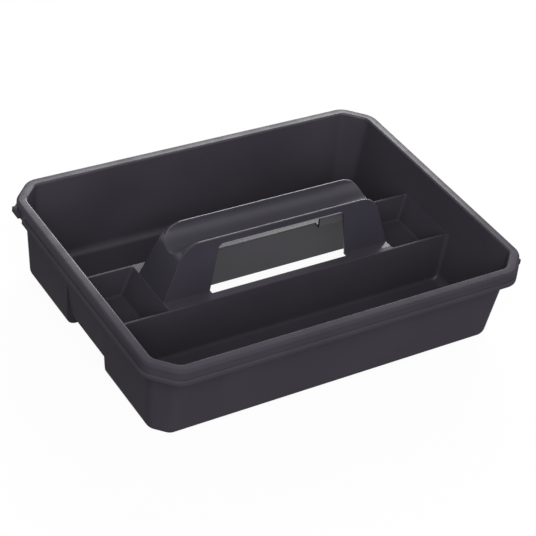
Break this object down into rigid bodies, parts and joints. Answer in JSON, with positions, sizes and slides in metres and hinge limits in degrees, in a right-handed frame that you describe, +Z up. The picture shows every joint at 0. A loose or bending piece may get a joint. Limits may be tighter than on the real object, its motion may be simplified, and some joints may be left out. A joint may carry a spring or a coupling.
{
  "type": "tool caddy",
  "caption": "Open plastic tool caddy with long bins on both sides of a hollow carrying handle, a small well at each end and a turned-down rim.",
  "frame": {"origin": "on the table, under the middle of the caddy", "axes": "+X along the length and the handle, +Y to the back, +Z up"},
  "size_m": [0.4022, 0.2962, 0.107],
  "materials": {
    "charcoal_plastic": "satin injection-moulded polypropylene with a fine grain"
  },
  "bodies": {
    "root": {"front_bin_floor": "charcoal_plastic", "front_bin_left_end": "charcoal_plastic", "front_bin_right_end": "charcoal_plastic", "front_divider": "charcoal_plastic", "front_ledge": "charcoal_plastic", "front_left_corner": "charcoal_plastic", "front_left_rim_corner": "charcoal_plastic", "front_right_corner": "charcoal_plastic", "front_right_rim_corner": "charcoal_plastic", "front_rim": "charcoal_plastic", "front_wall": "charcoal_plastic", "grip_trough": "charcoal_plastic", "handle_front_wall": "charcoal_plastic", "handle_left_end": "charcoal_plastic", "handle_rear_wall": "charcoal_plastic", "handle_right_end": "charcoal_plastic", "left_rim": "charcoal_plastic", "left_well_end_wall": "charcoal_plastic", "left_well_floor": "charcoal_plastic", "left_well_inner_wall": "charcoal_plastic", "rear_bin_floor": "charcoal_plastic", "rear_bin_left_end": "charcoal_plastic", "rear_bin_right_end": "charcoal_plastic", "rear_divider": "charcoal_plastic", "rear_ledge": "charcoal_plastic", "rear_left_corner": "charcoal_plastic", "rear_left_rim_corner": "charcoal_plastic", "rear_right_corner": "charcoal_plastic", "rear_right_rim_corner": "charcoal_plastic", "rear_rim": "charcoal_plastic", "rear_wall": "charcoal_plastic", "right_rim": "charcoal_plastic", "right_well_end_wall": "charcoal_plastic", "right_well_floor": "charcoal_plastic", "right_well_inner_wall": "charcoal_plastic"}
  },
  "joints": []
}
